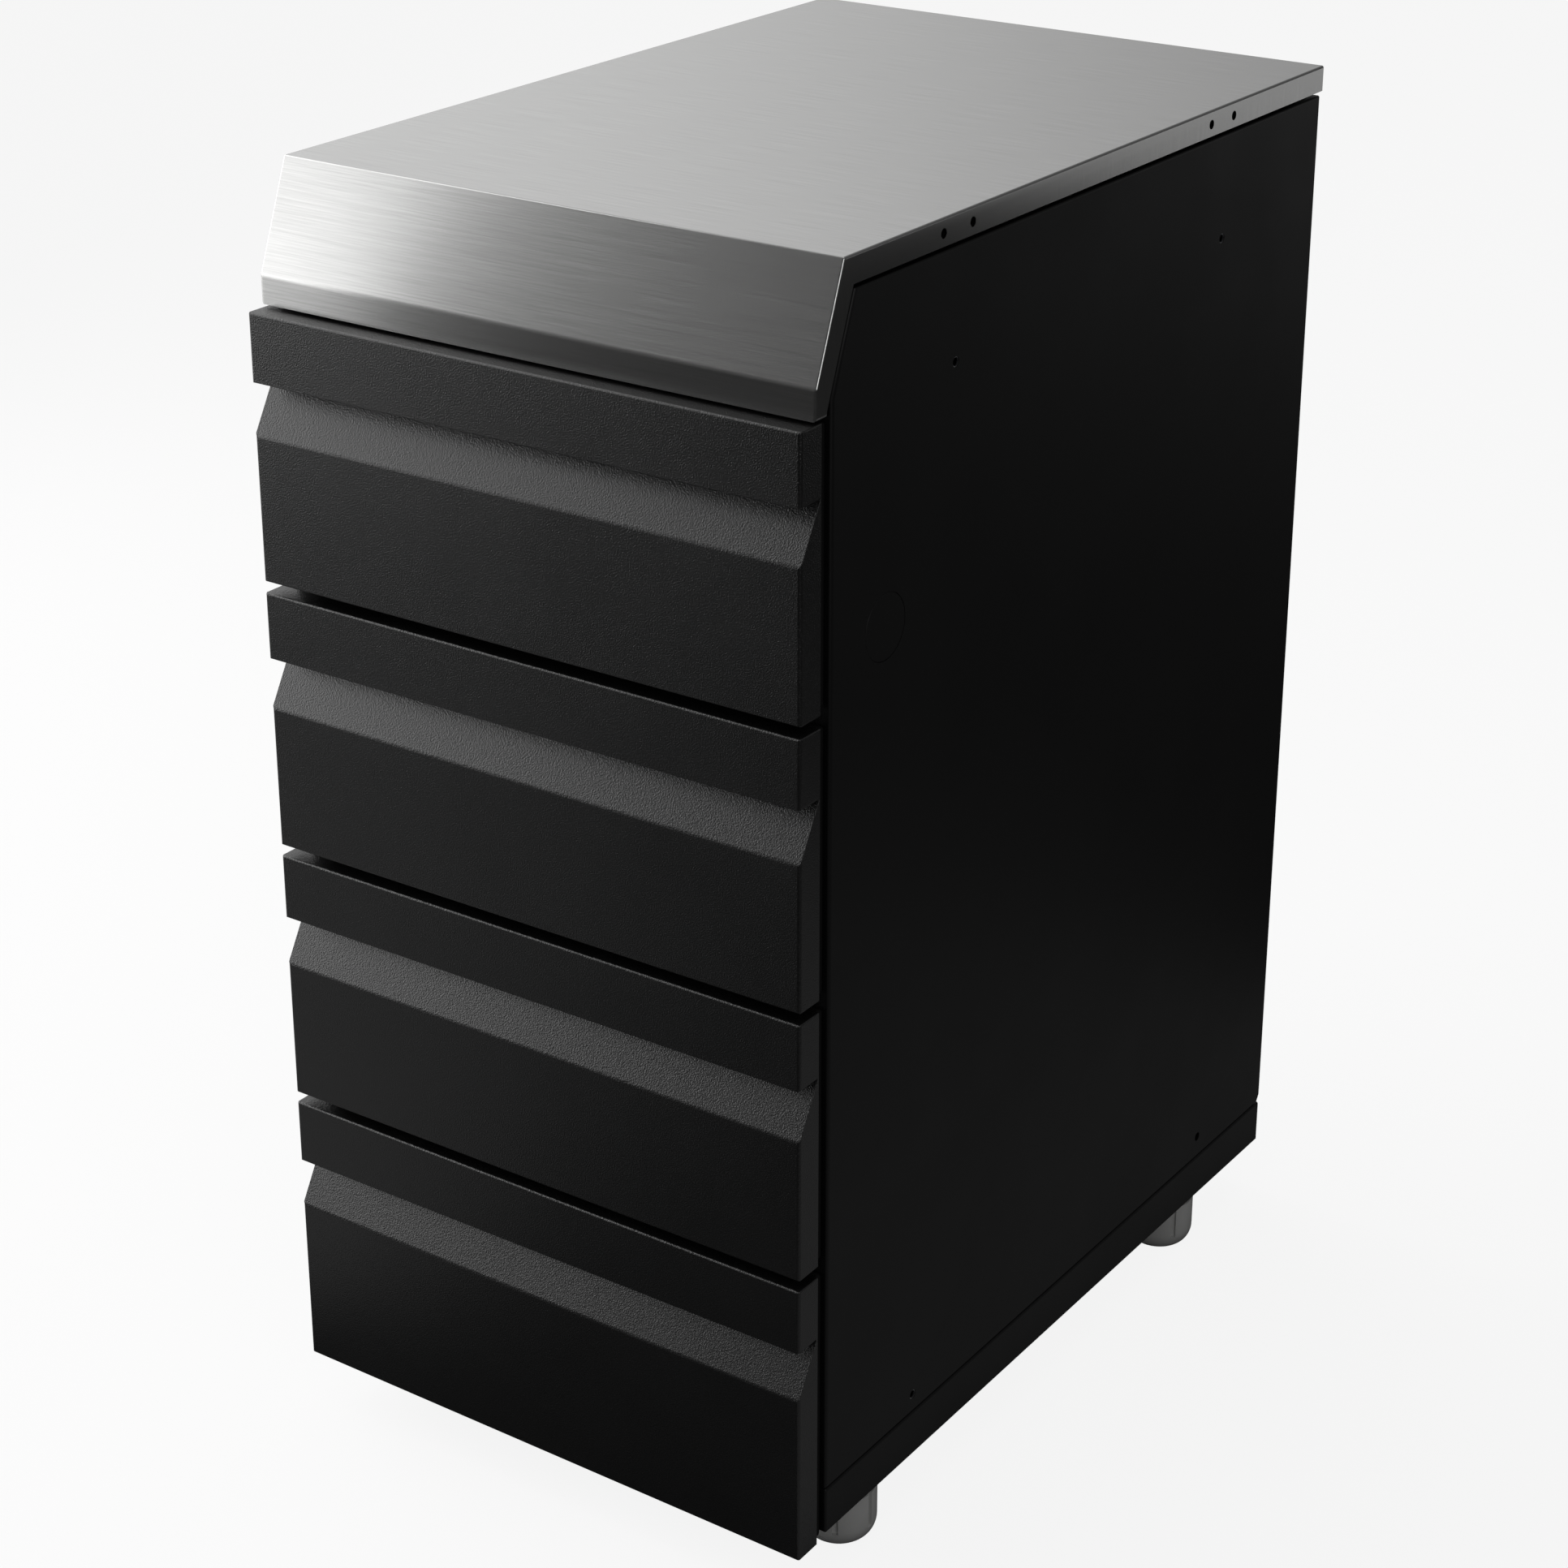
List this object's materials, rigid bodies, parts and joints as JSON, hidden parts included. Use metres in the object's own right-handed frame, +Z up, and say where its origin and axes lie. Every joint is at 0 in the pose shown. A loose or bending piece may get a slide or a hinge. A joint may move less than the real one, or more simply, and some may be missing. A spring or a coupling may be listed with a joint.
{
  "type": "drawer cabinet",
  "caption": "Metal drawer cabinet for an outdoor kitchen, with a sloped-front stainless worktop, lipped drawer fronts, dark side panels and levelling feet.",
  "frame": {"origin": "on the floor under the centre of the cabinet: half the width, and half the depth from the drawer fronts to the back of the worktop", "axes": "+Z up, +X to the right seen from the front, the drawer fronts face -Y"},
  "size_m": [0.44, 0.672, 0.938],
  "materials": {
    "stainless": "stainless sheet, fine brushing along X",
    "powder_coat": "black powder coat with a fine leather grain",
    "panel_coat": "black powder coat, smooth and matt",
    "zinc_plate": "bright zinc plate",
    "seal_rubber": "black foam rubber",
    "foot_plastic": "mid grey moulded plastic"
  },
  "bodies": {
    "cabinet": {"worktop": "stainless", "side_panel_left": "panel_coat", "side_hole_cover_left": "panel_coat", "side_liner_left": "panel_coat", "foot_nut_front_left": "zinc_plate", "foot_nut_rear_left": "zinc_plate", "side_panel_right": "panel_coat", "side_hole_cover_right": "panel_coat", "side_liner_right": "panel_coat", "foot_nut_front_right": "zinc_plate", "foot_nut_rear_right": "zinc_plate", "back_panel": "panel_coat", "base_tray": "panel_coat", "base_cross_member_front": "zinc_plate", "base_cross_member_rear": "zinc_plate", "front_rail": "zinc_plate", "rear_rail": "zinc_plate", "runner_fixed_1_left": "zinc_plate", "runner_fixed_1_right": "zinc_plate", "runner_fixed_2_left": "zinc_plate", "runner_fixed_2_right": "zinc_plate", "runner_fixed_3_left": "zinc_plate", "runner_fixed_3_right": "zinc_plate", "runner_fixed_4_left": "zinc_plate", "runner_fixed_4_right": "zinc_plate"},
    "foot_front_left_body": {"foot_front_left": "foot_plastic"},
    "foot_front_right_body": {"foot_front_right": "foot_plastic"},
    "foot_rear_left_body": {"foot_rear_left": "foot_plastic"},
    "foot_rear_right_body": {"foot_rear_right": "foot_plastic"},
    "drawer_1": {"drawer_front_1": "powder_coat", "drawer_seal_1": "seal_rubber", "drawer_box_1": "zinc_plate", "runner_inner_1_left": "zinc_plate", "runner_inner_1_right": "zinc_plate"},
    "runner_middle_1": {"runner_middle_1_left": "zinc_plate", "runner_middle_1_right": "zinc_plate"},
    "drawer_2": {"drawer_front_2": "powder_coat", "drawer_seal_2": "seal_rubber", "drawer_box_2": "zinc_plate", "runner_inner_2_left": "zinc_plate", "runner_inner_2_right": "zinc_plate"},
    "runner_middle_2": {"runner_middle_2_left": "zinc_plate", "runner_middle_2_right": "zinc_plate"},
    "drawer_3": {"drawer_front_3": "powder_coat", "drawer_seal_3": "seal_rubber", "drawer_box_3": "zinc_plate", "runner_inner_3_left": "zinc_plate", "runner_inner_3_right": "zinc_plate"},
    "runner_middle_3": {"runner_middle_3_left": "zinc_plate", "runner_middle_3_right": "zinc_plate"},
    "drawer_4": {"drawer_front_4": "powder_coat", "drawer_seal_4": "seal_rubber", "drawer_box_4": "zinc_plate", "runner_inner_4_left": "zinc_plate", "runner_inner_4_right": "zinc_plate"},
    "runner_middle_4": {"runner_middle_4_left": "zinc_plate", "runner_middle_4_right": "zinc_plate"}
  },
  "joints": [
    {"name": "foot_front_left_height", "type": "slide", "parent": "cabinet", "child": "foot_front_left_body", "axis": [0, 0, -1], "range_m": [0, 0.015]},
    {"name": "foot_front_right_height", "type": "slide", "parent": "cabinet", "child": "foot_front_right_body", "axis": [0, 0, -1], "range_m": [0, 0.015]},
    {"name": "foot_rear_left_height", "type": "slide", "parent": "cabinet", "child": "foot_rear_left_body", "axis": [0, 0, -1], "range_m": [0, 0.015]},
    {"name": "foot_rear_right_height", "type": "slide", "parent": "cabinet", "child": "foot_rear_right_body", "axis": [0, 0, -1], "range_m": [0, 0.015]},
    {"name": "drawer_1_slide", "type": "slide", "parent": "cabinet", "child": "drawer_1", "axis": [0, -1, 0], "range_m": [0, 0.48]},
    {"name": "runner_middle_1_slide", "type": "slide", "parent": "cabinet", "child": "runner_middle_1", "axis": [0, -1, 0], "range_m": [0, 0.24]},
    {"name": "drawer_2_slide", "type": "slide", "parent": "cabinet", "child": "drawer_2", "axis": [0, -1, 0], "range_m": [0, 0.48]},
    {"name": "runner_middle_2_slide", "type": "slide", "parent": "cabinet", "child": "runner_middle_2", "axis": [0, -1, 0], "range_m": [0, 0.24]},
    {"name": "drawer_3_slide", "type": "slide", "parent": "cabinet", "child": "drawer_3", "axis": [0, -1, 0], "range_m": [0, 0.48]},
    {"name": "runner_middle_3_slide", "type": "slide", "parent": "cabinet", "child": "runner_middle_3", "axis": [0, -1, 0], "range_m": [0, 0.24]},
    {"name": "drawer_4_slide", "type": "slide", "parent": "cabinet", "child": "drawer_4", "axis": [0, -1, 0], "range_m": [0, 0.48]},
    {"name": "runner_middle_4_slide", "type": "slide", "parent": "cabinet", "child": "runner_middle_4", "axis": [0, -1, 0], "range_m": [0, 0.24]}
  ],
  "couplings": [
    {"joint": "runner_middle_1_slide", "follows": "drawer_1_slide", "ratio": 0.5},
    {"joint": "runner_middle_2_slide", "follows": "drawer_2_slide", "ratio": 0.5},
    {"joint": "runner_middle_3_slide", "follows": "drawer_3_slide", "ratio": 0.5},
    {"joint": "runner_middle_4_slide", "follows": "drawer_4_slide", "ratio": 0.5}
  ]
}
